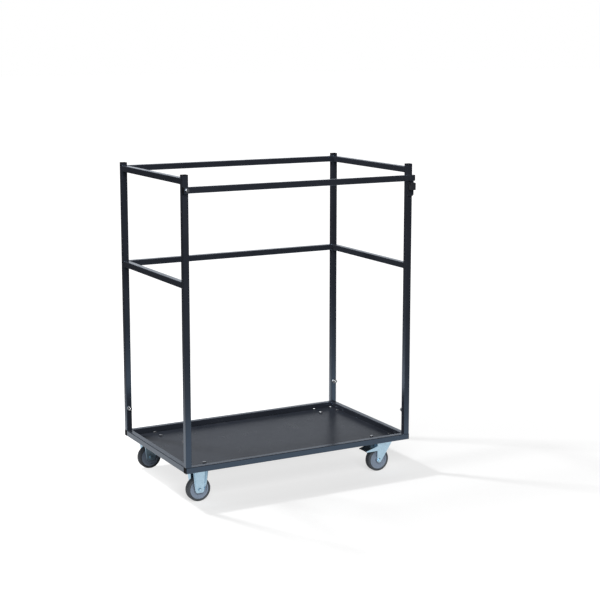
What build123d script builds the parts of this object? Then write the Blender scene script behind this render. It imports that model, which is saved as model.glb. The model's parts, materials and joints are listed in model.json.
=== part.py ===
"""Transport trolley: tube frame with uprights and rails, tray floor, swinging front bar and casters.

Millimetres, +Z up, +X to the right, the open front towards -Y. The origin is on the floor, under the
middle of the trolley's overall box.
"""
from build123d import *

import os
from math import cos, radians, sin, tan

# Frame of square tube
frame_length = 1050.0
frame_width = 650.0
frame_height = 1190.0
tube_size = 25.0
tube_wall = 1.5
tube_corner = 2.5
tube_bore_corner = 1.0
top_rail_drop = 13.0
mid_rail_drop = 420.0
tray_thickness = 3.0

# Plastic caps and plugs in the open tube ends
cap_thickness = 3.0
cap_edge = 1.2
plug_flange = 2.0
plug_insert = 15.0
plug_clearance = 0.1

# Spigots inside the feet of the uprights
spigot_height = 130.0
spigot_wall = 2.0
spigot_clearance = 0.3
joint_screw_height = 99.0

# M8 fasteners
m8_diameter = 8.0
m8_clearance = 0.2
m8_thread_gap = 0.05
m8_flats = 13.0
m8_head_height = 5.3
m8_edge = 0.6
m8_nut_height = 8.0
m8_nut_collar = 2.4
m8_bolt_end = 2.0
washer_diameter = 16.0
washer_thickness = 1.6

# M10 screws and cap nuts of the upright joints
joint_diameter = 10.0
joint_head_diameter = 19.0
joint_washer_diameter = 20.0
joint_washer_thickness = 2.0
cap_nut_flats = 17.0
cap_nut_height = 20.0
cap_nut_hex = 8.0
cap_nut_dome = 16.0
cap_nut_bore = 14.0
cap_nut_grip = 12.0

# Closing bar at the front
bar_height = 25.0
bar_depth = 15.0
bar_wall = 1.5
bar_corner = 2.0
bar_bore_corner = 0.6
bar_drop = 46.0
bar_overhang = 3.0
bar_gap = 2.2
bar_play = 0.1
pivot_running = 0.08
spacer_diameter = 20.0

# Latch on the right end of the bar
latch_plate_width = 30.0
latch_plate_thickness = 5.0
latch_plate_drop = 64.0
latch_plate_corner = 8.0
latch_pin_drop = 22.0
latch_pin_diameter = 8.0
latch_stem_diameter = 6.0
latch_travel = 6.0
latch_hole_diameter = 9.0
latch_running = 0.08
sleeve_diameter = 16.0
sleeve_fit = 0.05
sleeve_length = 15.0
sleeve_end_wall = 1.5
sleeve_nose_wall = 2.5
sleeve_chamber_diameter = 13.0
collar_diameter = 12.4
collar_thickness = 1.2
collar_seat_gap = 0.2
spring_diameter = 12.0
spring_bore = 7.2
spring_gap = 0.1
knob_width = 24.0
knob_height = 31.0
knob_corner = 3.0
knob_edge = 1.5
knob_clearance = 0.5
knob_front_wall = 5.0
knob_stem_cover = 2.5
knob_socket_gap = 0.4

# Casters
caster_height = 140.0
caster_inset_x = 82.0
caster_inset_y = 71.0
plate_length = 115.0
plate_width = 85.0
plate_corner = 8.0
plate_thickness = 3.0
plate_hole_x = 88.0
plate_hole_y = 60.0
wheel_diameter = 100.0
tyre_width = 32.0
tyre_tread = 20.0
tyre_side = 5.0
tyre_edge = 2.0
tyre_depth = 10.5
hub_diameter = 26.0
hub_length = 36.0
web_thickness = 18.0
ring_depth = 6.0
ring_width = 28.0
rim_edge = 1.2
axle_sleeve_diameter = 12.0
axle_running = 0.08
fork_gap = 38.0
fork_sheet = 2.5
fixed_fork_top = 68.0
fixed_fork_waist = 54.0
fixed_fork_waist_up = 25.0
fixed_fork_hip = 40.0
fixed_fork_hip_down = 3.0
fixed_fork_foot = 28.0
fixed_fork_drop = 13.0
fixed_fork_corner = 3.0
fixed_fork_fold = 55.0
fixed_flange_top = 15.0
fixed_flange_waist = 11.0
fixed_flange_hip = 1.5

# Swivel heads
swivel_offset = 36.0
race_diameter = 66.0
race_height = 6.0
race_pitch_radius = 24.0
race_gap = 2.0
ball_diameter = 7.0
ball_count = 16
ball_seat_gap = 0.1
ball_running_gap = 0.3
crown_thickness = 4.0
crown_overlap = 1.0
crown_leg_front = 25.0
fork_end_radius = 11.0
fork_back = 9.0
king_pin_diameter = 12.0
king_pin_head = 24.0
king_pin_head_height = 4.0
king_pin_cone = 18.0
king_pin_running = 0.08
king_pin_end_play = 0.3

# Brake pedals of the swivel casters, with places counted from the axle
pedal_pivot_ahead = 2.0
pedal_pivot_up = 58.0
pedal_boss_radius = 5.5
pedal_pin_diameter = 6.0
pedal_running = 0.08
pedal_shank_width = 30.0
pedal_side_gap = 0.3
pedal_width = 60.0
pedal_sheet = 2.5
pedal_start = 14.0
pedal_start_up = 65.5
pedal_reach = 71.0
pedal_tip_up = 49.5
pedal_flange_up = 45.0
pedal_travel = 8.0
shoe_press_gap = 0.35
shoe_start_angle = 106.0
shoe_end_angle = 126.0
shoe_block_end = 38.0

# Places worked out from the sizes above
half_length = frame_length / 2
tube_mid = tube_size / 2
tube_bore = tube_size - 2 * tube_wall
knob_rest = latch_plate_thickness + latch_travel + knob_clearance
socket_end = sleeve_length + latch_travel + knob_clearance
knob_front = socket_end + knob_front_wall
front_reach = bar_gap + knob_front
front_y = -(frame_width - front_reach) / 2
rear_y = front_y + frame_width
left_x = -half_length + tube_mid
right_x = half_length - tube_mid
front_row_y = front_y + tube_mid
rear_row_y = rear_y - tube_mid
base_z = caster_height
base_mid_z = base_z + tube_mid
base_top_z = base_z + tube_size
tray_top_z = base_z + tray_thickness
frame_top_z = base_z + frame_height
top_rail_z = frame_top_z - top_rail_drop - tube_mid
mid_rail_z = frame_top_z - mid_rail_drop - tube_mid
joint_z = base_top_z + joint_screw_height
bar_z = frame_top_z - bar_drop - bar_height / 2
bar_bottom_z = bar_z - bar_height / 2
bar_rear_y = front_y - bar_gap
bar_front_y = bar_rear_y - bar_depth
latch_z = bar_bottom_z - latch_pin_drop
axle_z = wheel_diameter / 2
plate_bottom_z = base_z - plate_thickness
race_bottom_z = plate_bottom_z - race_height
crown_top_z = race_bottom_z - race_gap
crown_bottom_z = crown_top_z - crown_thickness
ball_z = (race_bottom_z + crown_top_z) / 2
fixed_x = -half_length + caster_inset_x
swivel_x = half_length - caster_inset_x
trailing_x = swivel_x - swivel_offset
caster_front_y = front_y + caster_inset_y
caster_rear_y = rear_y - caster_inset_y
shoe_radius = wheel_diameter / 2 + shoe_press_gap
m8_hole_radius = m8_diameter / 2 + m8_clearance
m8_nut_radius = m8_diameter / 2 + m8_thread_gap
joint_hole_radius = joint_diameter / 2 + m8_clearance

uprights = {
    "front_left": (left_x, front_row_y),
    "front_right": (right_x, front_row_y),
    "rear_left": (left_x, rear_row_y),
    "rear_right": (right_x, rear_row_y),
}
casters = [(x, y) for x in (fixed_x, swivel_x) for y in (caster_front_y, caster_rear_y)]

os.makedirs("parts", exist_ok=True)


def save(part, name):
    """Labels a finished piece and writes its file."""
    part.label = name
    export_step(part, f"parts/{name}.step")


def across_x(x, y, z):
    """Plane square to X, with its local x along Y."""
    return Plane(origin=(x, y, z), x_dir=(0, 1, 0), z_dir=(1, 0, 0))


def across_y(x, y, z):
    """Plane square to Y that looks along +Y, with its local x along +X and its local y along -Z."""
    return Plane(origin=(x, y, z), x_dir=(1, 0, 0), z_dir=(0, 1, 0))


def facing_front(x, y, z):
    """Plane square to Y that looks along -Y, with its local x along +X and its local y along +Z."""
    return Plane(origin=(x, y, z), x_dir=(1, 0, 0), z_dir=(0, -1, 0))


def along_y(x, y, z, way):
    """Flat plane whose local y runs along +Y or -Y, for shapes turned about that line."""
    return Plane(origin=(x, y, z), x_dir=(way, 0, 0), z_dir=(0, 0, 1))


def turned(plane, points):
    """Solid of revolution about the plane's local y axis, from (radius, place) points."""
    with BuildPart() as piece:
        with BuildSketch(plane):
            with BuildLine():
                Polyline(*points, close=True)
            make_face()
        revolve(axis=Axis(plane.origin, plane.y_dir))
    return piece.part


def ring(plane, outer_radius, inner_radius, length):
    """Round tube from the plane along its normal."""
    with BuildPart() as piece:
        with BuildSketch(plane):
            Circle(outer_radius)
            Circle(inner_radius, mode=Mode.SUBTRACT)
        extrude(amount=length)
    return piece.part


def square_tube(plane, length):
    """Length of the frame's square tube from the plane along its normal."""
    with BuildPart() as tube:
        with BuildSketch(plane):
            RectangleRounded(tube_size, tube_size, tube_corner)
            RectangleRounded(tube_bore, tube_bore, tube_bore_corner, mode=Mode.SUBTRACT)
        extrude(amount=length)
    return tube.part


def hex_bolt(seat, length):
    """M8 hexagon bolt whose head stands behind the seat plane and whose shank runs along its normal."""
    with BuildPart() as bolt:
        with BuildSketch(seat):
            RegularPolygon(m8_flats / 2, 6, major_radius=False)
        extrude(amount=-m8_head_height)
        chamfer(bolt.faces().sort_by(Axis(seat.origin, seat.z_dir))[0].edges(), m8_edge)
        with BuildSketch(seat):
            Circle(m8_diameter / 2)
        extrude(amount=length)
        chamfer(bolt.faces().sort_by(Axis(seat.origin, seat.z_dir))[-1].edges(), m8_edge)
    return bolt.part


def lock_nut(seat):
    """M8 lock nut that stands on the seat plane, with its round collar outwards."""
    with BuildPart() as nut:
        with BuildSketch(seat):
            RegularPolygon(m8_flats / 2, 6, major_radius=False)
        extrude(amount=m8_nut_height - m8_nut_collar)
        chamfer(nut.faces().sort_by(Axis(seat.origin, seat.z_dir))[-1].edges(), m8_edge)
        with BuildSketch(seat):
            Circle(m8_flats / 2 - m8_edge)
        extrude(amount=m8_nut_height)
        with BuildSketch(seat):
            Circle(m8_nut_radius)
        extrude(amount=m8_nut_height, mode=Mode.SUBTRACT)
    return nut.part


def together(pieces):
    """Group of separate solids for one node."""
    with BuildPart() as group:
        for piece in pieces:
            add(piece)
    return group.part


def joint_plane(name):
    """Plane at the outer face of an upright's foot, with its local y along the joint screw."""
    x, y = uprights[name]
    outer_y, way = (front_y, 1) if name.startswith("front") else (rear_y, -1)
    return along_y(x, outer_y, joint_z, way)


def joint_hole(name):
    """Room for a joint screw: its clearance hole and the cone of its head."""
    head_radius = joint_head_diameter / 2 + m8_thread_gap
    cone = head_radius - joint_hole_radius
    return turned(joint_plane(name), [
        (0, 0),
        (head_radius, 0),
        (joint_hole_radius, cone),
        (joint_hole_radius, tube_size),
        (0, tube_size),
    ])


# Base rails: the long ones run through to the corners, the short ones stand between them
long_rail = frame_length - 2 * plug_flange
short_rail = frame_width - 2 * tube_size
save(square_tube(across_x(-long_rail / 2, front_row_y, base_mid_z), long_rail), "base_front_rail")
save(square_tube(across_x(-long_rail / 2, rear_row_y, base_mid_z), long_rail), "base_rear_rail")
save(square_tube(across_y(left_x, front_y + tube_size, base_mid_z), short_rail), "base_left_rail")
save(square_tube(across_y(right_x, front_y + tube_size, base_mid_z), short_rail), "base_right_rail")

# Side and rear rails, butted between the uprights
rear_rail = frame_length - 2 * tube_size
for level, rail_z in (("top", top_rail_z), ("mid", mid_rail_z)):
    save(square_tube(across_y(left_x, front_y + tube_size, rail_z), short_rail), f"left_{level}_rail")
    save(square_tube(across_y(right_x, front_y + tube_size, rail_z), short_rail), f"right_{level}_rail")
    save(square_tube(across_x(-rear_rail / 2, rear_row_y, rail_z), rear_rail), f"rear_{level}_rail")

# Black plugs in the four open ends of the long base rails
insert_size = tube_bore - 2 * plug_clearance
with BuildPart() as base_rail_plugs:
    for way in (-1, 1):
        for row_y in (front_row_y, rear_row_y):
            end = across_x(way * half_length, row_y, base_mid_z)
            with BuildSketch(end):
                RectangleRounded(tube_size, tube_size, tube_corner)
            extrude(amount=-way * plug_flange)
            with BuildSketch(end):
                RectangleRounded(insert_size, insert_size, tube_bore_corner)
            extrude(amount=-way * (plug_flange + plug_insert))
save(base_rail_plugs.part, "base_rail_plugs")

# Tray floor of sheet steel, low between the rails
with BuildPart() as tray_floor:
    with BuildSketch(Plane.XY.offset(base_z)):
        with Locations((0, (front_y + rear_y) / 2)):
            Rectangle(frame_length - 2 * tube_size, short_rail)
        with Locations(*casters):
            with GridLocations(plate_hole_x, plate_hole_y, 2, 2):
                Circle(m8_hole_radius, mode=Mode.SUBTRACT)
    extrude(amount=tray_thickness)
save(tray_floor.part, "tray_floor")

# Spigots that stand on the long rails and fill the feet of the uprights
spigot_size = tube_bore - 2 * spigot_clearance
spigot_bore = spigot_size - 2 * spigot_wall
with BuildPart() as upright_spigots:
    with BuildSketch(Plane.XY.offset(base_top_z)):
        with Locations(*uprights.values()):
            RectangleRounded(spigot_size, spigot_size, tube_bore_corner)
            Rectangle(spigot_bore, spigot_bore, mode=Mode.SUBTRACT)
    extrude(amount=spigot_height)
    for name in uprights:
        add(joint_hole(name), mode=Mode.SUBTRACT)
save(upright_spigots.part, "upright_spigots")

# Uprights, with the holes of their joint screws, of the bar's pivot and of the latch pin
upright_length = frame_top_z - cap_thickness - base_top_z
for name, (x, y) in uprights.items():
    with BuildPart() as upright:
        add(square_tube(Plane(origin=(x, y, base_top_z)), upright_length))
        add(joint_hole(name), mode=Mode.SUBTRACT)
        if name == "front_left":
            with BuildSketch(across_y(x, front_y, bar_z)):
                Circle(m8_hole_radius)
            extrude(amount=tube_size, mode=Mode.SUBTRACT)
        if name == "front_right":
            with BuildSketch(across_y(x, front_y, latch_z)):
                Circle(latch_hole_diameter / 2)
            extrude(amount=tube_mid, mode=Mode.SUBTRACT)
    save(upright.part, f"{name}_upright")

# Black caps on the uprights
with BuildPart() as upright_caps:
    with BuildSketch(Plane.XY.offset(frame_top_z)):
        with Locations(*uprights.values()):
            RectangleRounded(tube_size, tube_size, tube_corner)
    extrude(amount=-cap_thickness)
    fillet(upright_caps.faces().group_by(Axis.Z)[-1].edges(), cap_edge)
    with BuildSketch(Plane.XY.offset(frame_top_z - cap_thickness)):
        with Locations(*uprights.values()):
            RectangleRounded(insert_size, insert_size, tube_bore_corner)
    extrude(amount=-plug_insert)
save(upright_caps.part, "upright_caps")

# Countersunk screws, washers and cap nuts that clamp the uprights to their spigots
screw_length = tube_size + joint_washer_thickness + cap_nut_grip
screw_radius = joint_diameter / 2
screw_points = [
    (0, 0),
    (joint_head_diameter / 2, 0),
    (screw_radius, joint_head_diameter / 2 - screw_radius),
    (screw_radius, screw_length),
    (0, screw_length),
]
save(together(turned(joint_plane(name), screw_points) for name in uprights), "upright_screws")

nut_seat = tube_size + joint_washer_thickness
washer_radius = washer_diameter / 2
joint_washer_points = [
    (joint_hole_radius, tube_size),
    (joint_washer_diameter / 2, tube_size),
    (joint_washer_diameter / 2, nut_seat),
    (joint_hole_radius, nut_seat),
]
pivot_front = along_y(left_x, bar_front_y - bar_play - washer_thickness, bar_z, 1)
pivot_back = along_y(left_x, front_y + tube_size, bar_z, 1)
pivot_washer_points = [
    (m8_hole_radius, 0),
    (washer_radius, 0),
    (washer_radius, washer_thickness),
    (m8_hole_radius, washer_thickness),
]
joint_washers = [turned(joint_plane(name), joint_washer_points) for name in uprights]
pivot_washers = [turned(plane, pivot_washer_points) for plane in (pivot_front, pivot_back)]
save(together(joint_washers + pivot_washers), "washers")

with BuildPart() as upright_cap_nuts:
    for name in uprights:
        middle = joint_plane(name)
        seat_origin = middle.origin + middle.y_dir * nut_seat
        seat = Plane(origin=seat_origin, x_dir=middle.x_dir, z_dir=middle.y_dir)
        with BuildSketch(seat):
            RegularPolygon(cap_nut_flats / 2, 6, major_radius=False)
        extrude(amount=cap_nut_hex)
        dome_radius = cap_nut_dome / 2
        nut_end = nut_seat + cap_nut_height
        dome_base = nut_end - dome_radius
        with BuildSketch(middle):
            with BuildLine():
                Polyline((0, nut_end), (0, nut_seat), (dome_radius, nut_seat), (dome_radius, dome_base))
                RadiusArc((dome_radius, dome_base), (0, nut_end), -dome_radius)
            make_face()
        revolve(axis=Axis(middle.origin, middle.y_dir))
        with BuildSketch(seat):
            Circle(screw_radius + m8_thread_gap)
        extrude(amount=cap_nut_bore, mode=Mode.SUBTRACT)
save(upright_cap_nuts.part, "upright_cap_nuts")

# Closing bar of rectangular tube, bored for its pivot bolt
bar_tube = frame_length + 2 * bar_overhang - 2 * plug_flange
bar_middle_y = (bar_front_y + bar_rear_y) / 2
bar_bore_depth = bar_depth - 2 * bar_wall
bar_bore_height = bar_height - 2 * bar_wall
with BuildPart() as closing_bar:
    with BuildSketch(across_x(-bar_tube / 2, bar_middle_y, bar_z)):
        RectangleRounded(bar_depth, bar_height, bar_corner)
        RectangleRounded(bar_bore_depth, bar_bore_height, bar_bore_corner, mode=Mode.SUBTRACT)
    extrude(amount=bar_tube)
    with BuildSketch(across_y(left_x, bar_front_y, bar_z)):
        Circle(m8_diameter / 2 + pivot_running)
    extrude(amount=bar_depth, mode=Mode.SUBTRACT)
save(closing_bar.part, "closing_bar")

# Short black plugs in the ends of the bar, clear of the pivot bolt
bar_plug_insert = min(plug_insert, bar_overhang + tube_mid - plug_flange - m8_diameter)
with BuildPart() as closing_bar_plugs:
    for way in (-1, 1):
        end = across_x(way * (half_length + bar_overhang), bar_middle_y, bar_z)
        with BuildSketch(end):
            RectangleRounded(bar_depth, bar_height, bar_corner)
        extrude(amount=-way * plug_flange)
        with BuildSketch(end):
            RectangleRounded(
                bar_bore_depth - 2 * plug_clearance, bar_bore_height - 2 * plug_clearance, bar_bore_corner
            )
        extrude(amount=-way * (plug_flange + bar_plug_insert))
save(closing_bar_plugs.part, "closing_bar_plugs")

# Pivot of the bar: bolt and spacer
pivot_grip = bar_play + washer_thickness + bar_depth + bar_gap + tube_size + washer_thickness
pivot_seat = across_y(left_x, bar_front_y - bar_play - washer_thickness, bar_z)
save(hex_bolt(pivot_seat, pivot_grip + m8_nut_height + m8_bolt_end), "bar_pivot_bolt")
spacer_face = across_y(left_x, bar_rear_y + bar_play, bar_z)
save(ring(spacer_face, spacer_diameter / 2, m8_hole_radius, bar_gap - bar_play), "bar_pivot_spacer")

# Latch plate that hangs from the bar in front of the right upright
with BuildPart() as latch_plate:
    with BuildSketch(facing_front(right_x, bar_rear_y, bar_bottom_z)):
        with Locations((0, -latch_plate_drop / 2)):
            Rectangle(latch_plate_width, latch_plate_drop)
        with Locations((0, -latch_pin_drop)):
            Circle(sleeve_diameter / 2 + sleeve_fit, mode=Mode.SUBTRACT)
    extrude(amount=latch_plate_thickness)
    fillet(latch_plate.edges().filter_by(Axis.Y).group_by(Axis.Z)[0], latch_plate_corner)
save(latch_plate.part, "latch_plate")

# Spring plunger of the latch, shown drawn back and parked. Places run forwards from the back of the plate
plunger = along_y(right_x, bar_rear_y, latch_z, -1)
pin_radius = latch_pin_diameter / 2
stem_radius = latch_stem_diameter / 2
chamber_radius = sleeve_chamber_diameter / 2
chamber_end = sleeve_length - sleeve_end_wall
save(turned(plunger, [
    (pin_radius + latch_running, 0),
    (sleeve_diameter / 2, 0),
    (sleeve_diameter / 2, sleeve_length),
    (stem_radius + latch_running, sleeve_length),
    (stem_radius + latch_running, chamber_end),
    (chamber_radius, chamber_end),
    (chamber_radius, sleeve_nose_wall),
    (pin_radius + latch_running, sleeve_nose_wall),
]), "plunger_sleeve")

collar_back = sleeve_nose_wall + latch_travel + collar_seat_gap
collar_front = collar_back + collar_thickness
stem_end = knob_front - knob_stem_cover
save(turned(plunger, [
    (0, 0),
    (pin_radius - m8_edge, 0),
    (pin_radius, m8_edge),
    (pin_radius, collar_back),
    (collar_diameter / 2, collar_back),
    (collar_diameter / 2, collar_front),
    (stem_radius, collar_front),
    (stem_radius, stem_end),
    (0, stem_end),
]), "latch_pin")

save(turned(plunger, [
    (spring_bore / 2, collar_front + spring_gap),
    (spring_diameter / 2, collar_front + spring_gap),
    (spring_diameter / 2, chamber_end),
    (spring_bore / 2, chamber_end),
]), "latch_spring")

# Pull knob: a block that slides over the sleeve
with BuildPart() as latch_knob:
    with BuildSketch(facing_front(right_x, bar_rear_y - knob_rest, latch_z)):
        RectangleRounded(knob_width, knob_height, knob_corner)
    extrude(amount=knob_front - knob_rest)
    fillet(latch_knob.faces().group_by(Axis.Y)[0].edges(), knob_edge)
    with BuildSketch(facing_front(right_x, bar_rear_y - knob_rest, latch_z)):
        Circle(sleeve_diameter / 2 + knob_socket_gap)
    extrude(amount=socket_end - knob_rest, mode=Mode.SUBTRACT)
    with BuildSketch(facing_front(right_x, bar_rear_y - knob_rest, latch_z)):
        Circle(stem_radius)
    extrude(amount=stem_end - knob_rest, mode=Mode.SUBTRACT)
save(latch_knob.part, "latch_knob")

# Bolts and nuts of the caster plates
with BuildPart() as caster_bolts:
    with BuildSketch(Plane.XY.offset(tray_top_z)):
        with Locations(*casters):
            with GridLocations(plate_hole_x, plate_hole_y, 2, 2):
                RegularPolygon(m8_flats / 2, 6, major_radius=False)
    extrude(amount=m8_head_height)
    chamfer(caster_bolts.faces().group_by(Axis.Z)[-1].edges(), m8_edge)
    with BuildSketch(Plane.XY.offset(tray_top_z)):
        with Locations(*casters):
            with GridLocations(plate_hole_x, plate_hole_y, 2, 2):
                Circle(m8_diameter / 2)
    extrude(amount=-(tray_thickness + plate_thickness + m8_nut_height + m8_bolt_end / 2))
save(caster_bolts.part, "caster_bolts")

with BuildPart() as caster_nuts:
    with Locations(*((x, y, 0) for x, y in casters)):
        with GridLocations(plate_hole_x, plate_hole_y, 2, 2):
            add(lock_nut(Plane(origin=(0, 0, plate_bottom_z), x_dir=(1, 0, 0), z_dir=(0, 0, -1))))
save(caster_nuts.part, "caster_nuts")


def caster_plate(x, y):
    """Caster plate under the tray floor, with its four bolt holes."""
    with BuildPart() as plate:
        with BuildSketch(Plane(origin=(x, y, plate_bottom_z))):
            RectangleRounded(plate_length, plate_width, plate_corner)
            with GridLocations(plate_hole_x, plate_hole_y, 2, 2):
                Circle(m8_hole_radius, mode=Mode.SUBTRACT)
        extrude(amount=plate_thickness)
    return plate.part


def flanged_section(x, y, way, z, width, flange):
    """Level cut through a fixed fork's leg: a web and two flanges folded outwards."""
    fold = radians(fixed_fork_fold)
    half = width / 2
    web = half - flange * cos(fold)
    crease = web - fork_sheet * tan(fold / 2)
    edge = (half, flange * sin(fold))
    lip = (half - fork_sheet * sin(fold), flange * sin(fold) + fork_sheet * cos(fold))
    right = [(web, 0), edge, lip, (crease, fork_sheet)]
    left = [(-across, out) for across, out in reversed(right)]
    with BuildSketch(Plane(origin=(x, y + way * fork_gap / 2, z))) as cut:
        with BuildLine():
            Polyline(*((across, way * out) for across, out in right + left), close=True)
        make_face()
    return cut.sketch


def fixed_fork(x, y):
    """Fixed fork: a plate and two flanged legs that taper to the axle."""
    waist_z = axle_z + fixed_fork_waist_up
    hip_z = axle_z - fixed_fork_hip_down
    foot_z = axle_z - fixed_fork_drop
    with BuildPart() as fork:
        add(caster_plate(x, y))
        for way in (-1, 1):
            top = flanged_section(x, y, way, plate_bottom_z, fixed_fork_top, fixed_flange_top)
            waist = flanged_section(x, y, way, waist_z, fixed_fork_waist, fixed_flange_waist)
            hip = flanged_section(x, y, way, hip_z, fixed_fork_hip, fixed_flange_hip)
            loft([top, waist], ruled=True)
            loft([waist, hip], ruled=True)
            with BuildSketch(facing_front(x, y + way * fork_gap / 2, 0)) as foot:
                with BuildLine():
                    Polyline(
                        (-fixed_fork_foot / 2, foot_z),
                        (fixed_fork_foot / 2, foot_z),
                        (fixed_fork_hip / 2, hip_z),
                        (-fixed_fork_hip / 2, hip_z),
                        close=True,
                    )
                make_face()
                fillet(foot.vertices().group_by(Axis.Y)[0], fixed_fork_corner)
            extrude(amount=-way * fork_sheet)
        with BuildSketch(facing_front(x, y, axle_z)):
            Circle(m8_hole_radius)
        extrude(amount=fork_gap, both=True, mode=Mode.SUBTRACT)
    return fork.part


def swivel_fork(x, y):
    """Swivelling fork: a crown with a ball groove, and two legs that trail back and carry the pedal."""
    leg_top_z = crown_bottom_z + crown_overlap
    axle_back = -swivel_offset
    leg_top = crown_leg_front - axle_back + fork_back
    pivot = (axle_back + pedal_pivot_ahead, axle_z + pedal_pivot_up)
    with BuildPart() as fork:
        with BuildSketch(Plane(origin=(x, y, crown_bottom_z))):
            Circle(race_diameter / 2)
            Circle(king_pin_diameter / 2 + king_pin_running, mode=Mode.SUBTRACT)
        extrude(amount=crown_thickness)
        for way in (-1, 1):
            with BuildSketch(facing_front(x, y + way * fork_gap / 2, 0)) as leg:
                with Locations((axle_back, axle_z)):
                    Circle(fork_end_radius)
                with Locations((crown_leg_front - leg_top / 2, leg_top_z - crown_thickness / 2)):
                    Rectangle(leg_top, crown_thickness)
                make_hull(leg.edges())
                with Locations((axle_back, axle_z)):
                    Circle(m8_hole_radius, mode=Mode.SUBTRACT)
                with Locations(pivot):
                    Circle(pedal_pin_diameter / 2 + pedal_running, mode=Mode.SUBTRACT)
            extrude(amount=-way * fork_sheet)
        with BuildSketch(facing_front(x, y, ball_z)):
            with Locations((race_pitch_radius, 0)):
                Circle(ball_diameter / 2 + ball_running_gap)
        revolve(axis=Axis((x, y, 0), (0, 0, 1)), mode=Mode.SUBTRACT)
    return fork.part


def swivel_plate(x, y):
    """Swivel caster's plate with the upper ball race under it."""
    with BuildPart() as plate:
        add(caster_plate(x, y))
        with BuildSketch(Plane(origin=(x, y, race_bottom_z))):
            Circle(race_diameter / 2)
        extrude(amount=race_height)
        add(turned(facing_front(x, y, 0), [
            (0, race_bottom_z),
            (king_pin_diameter / 2, race_bottom_z),
            (king_pin_diameter / 2, plate_bottom_z),
            (king_pin_cone / 2, base_z),
            (0, base_z),
        ]), mode=Mode.SUBTRACT)
        with BuildSketch(facing_front(x, y, ball_z)):
            with Locations((race_pitch_radius, 0)):
                Circle(ball_diameter / 2 + ball_seat_gap)
        revolve(axis=Axis((x, y, 0), (0, 0, 1)), mode=Mode.SUBTRACT)
    return plate.part


def king_pin(x, y):
    """Riveted pin that holds the fork's crown under the plate."""
    head_top_z = crown_bottom_z - king_pin_end_play
    head_bottom_z = head_top_z - king_pin_head_height
    return turned(facing_front(x, y, 0), [
        (0, head_bottom_z),
        (king_pin_head / 2 - m8_edge, head_bottom_z),
        (king_pin_head / 2, head_bottom_z + m8_edge),
        (king_pin_head / 2, head_top_z),
        (king_pin_diameter / 2, head_top_z),
        (king_pin_diameter / 2, plate_bottom_z),
        (king_pin_cone / 2, base_z),
        (0, base_z),
    ])


def wheel_rim(x, y):
    """Plastic rim: hub, web and the ring that carries the tyre."""
    bore_radius = axle_sleeve_diameter / 2 + axle_running
    hub_radius = hub_diameter / 2
    seat_radius = wheel_diameter / 2 - tyre_depth
    ring_radius = seat_radius - ring_depth
    with BuildPart() as rim:
        add(turned(along_y(x, y, axle_z, 1), [
            (bore_radius, -hub_length / 2),
            (hub_radius, -hub_length / 2),
            (hub_radius, -web_thickness / 2),
            (ring_radius, -web_thickness / 2),
            (ring_radius, -ring_width / 2),
            (seat_radius, -ring_width / 2),
            (seat_radius, ring_width / 2),
            (ring_radius, ring_width / 2),
            (ring_radius, web_thickness / 2),
            (hub_radius, web_thickness / 2),
            (hub_radius, hub_length / 2),
            (bore_radius, hub_length / 2),
        ]))
        round_edges = rim.edges().filter_by(GeomType.CIRCLE)
        fillet(round_edges.filter_by(lambda edge: bore_radius < edge.radius < seat_radius), rim_edge)
    return rim.part


def wheel_tyre(x, y):
    """Rubber tyre with a flat tread and rounded shoulders."""
    tread_radius = wheel_diameter / 2
    seat_radius = tread_radius - tyre_depth
    side_radius = tread_radius - tyre_side
    half = tyre_width / 2
    flat = tyre_tread / 2
    shoulder = half - flat
    plane = along_y(x, y, axle_z, 1)
    with BuildPart() as tyre:
        with BuildSketch(plane):
            with BuildLine():
                EllipticalCenterArc((side_radius, flat), tyre_side, shoulder, start_angle=0, arc_size=90)
                Polyline(
                    (side_radius, half),
                    (seat_radius + tyre_edge, half),
                    (seat_radius, half - tyre_edge),
                    (seat_radius, -half + tyre_edge),
                    (seat_radius + tyre_edge, -half),
                    (side_radius, -half),
                )
                EllipticalCenterArc((side_radius, -flat), tyre_side, shoulder, start_angle=270, arc_size=90)
                Line((tread_radius, -flat), (tread_radius, flat))
            make_face()
        revolve(axis=Axis(plane.origin, plane.y_dir))
    return tyre.part


def axle_sleeve(x, y):
    """Steel sleeve that the fork clamps and the rim turns on."""
    return ring(across_y(x, y - fork_gap / 2, axle_z), axle_sleeve_diameter / 2, m8_hole_radius, fork_gap)


def axle_bolt(x, y):
    """Bolt through both legs of a fork and the axle sleeve."""
    seat = across_y(x, y - fork_gap / 2 - fork_sheet, axle_z)
    return hex_bolt(seat, fork_gap + 2 * fork_sheet + m8_nut_height + m8_bolt_end)


def axle_nut(x, y):
    """Lock nut on the rear end of an axle bolt."""
    return lock_nut(across_y(x, y + fork_gap / 2 + fork_sheet, axle_z))


def shoe_point(angle):
    """Place of the brake shoe at rest: on the tyre at this angle when pressed, then tipped back."""
    back = radians(pedal_travel)
    across = shoe_radius * cos(radians(angle)) - pedal_pivot_ahead
    up = shoe_radius * sin(radians(angle)) - pedal_pivot_up
    rest_x = pedal_pivot_ahead + across * cos(back) + up * sin(back)
    rest_z = axle_z + pedal_pivot_up - across * sin(back) + up * cos(back)
    return rest_x, rest_z


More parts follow.
